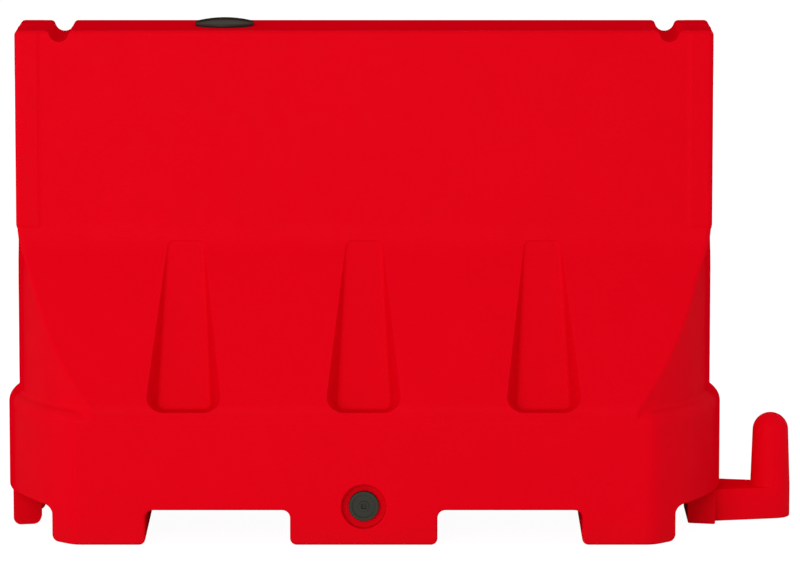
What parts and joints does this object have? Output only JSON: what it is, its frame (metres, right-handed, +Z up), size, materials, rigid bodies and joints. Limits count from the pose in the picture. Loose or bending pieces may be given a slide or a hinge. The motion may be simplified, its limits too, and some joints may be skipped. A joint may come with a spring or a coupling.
{
  "type": "plastic jersey barrier",
  "caption": "Hollow water-filled road barrier with splayed sides, fork slots, a screw-in filler cap and drain plug, and an end arm whose pin drops into the next barrier's socket.",
  "frame": {"origin": "on the ground under the middle of the shell, in the middle of the middle foot's underside", "axes": "+X along the barrier towards the coupling arm, -Y to the front with the drain plug, +Z up"},
  "size_m": [1.2043, 0.48, 0.7735],
  "materials": {
    "shell_red": "satin",
    "arm_red": "satin",
    "cap_black": "satin",
    "plug_black": "satin",
    "fitting_black": "satin",
    "seal_rubber": "matte",
    "zinc_steel": "satin",
    "insert_brass": "satin"
  },
  "bodies": {
    "barrier": {"barrier_shell": "shell_red", "coupling_arm": "arm_red", "arm_bolts": "zinc_steel", "arm_washers": "zinc_steel", "arm_inserts": "insert_brass", "filler_neck": "fitting_black", "drain_bush": "fitting_black"},
    "filler_seal": {"filler_gasket": "seal_rubber"},
    "cap": {"filler_cap": "cap_black"},
    "drain_seal": {"drain_gasket": "seal_rubber"},
    "plug": {"drain_plug": "plug_black"}
  },
  "joints": [
    {"name": "filler_lift", "type": "slide", "parent": "barrier", "child": "filler_seal", "axis": [0, 0, 1], "range_m": [0, 0.0226]},
    {"name": "filler_turn", "type": "hinge", "parent": "filler_seal", "child": "cap", "pos_m": [-0.2135, 0, 0.7645], "axis": [0, 0, 1], "range_deg": [0, 1350]},
    {"name": "drain_out", "type": "slide", "parent": "barrier", "child": "drain_seal", "axis": [0, -1, 0], "range_m": [0, 0.0201]},
    {"name": "drain_turn", "type": "hinge", "parent": "drain_seal", "child": "plug", "pos_m": [0, -0.228, 0.0585], "axis": [0, -1, 0], "range_deg": [0, 1800]}
  ],
  "couplings": [
    {"joint": "filler_lift", "follows": "filler_turn", "m_per_rad": 0.00095493},
    {"joint": "drain_out", "follows": "drain_turn", "m_per_rad": 0.00063662}
  ]
}
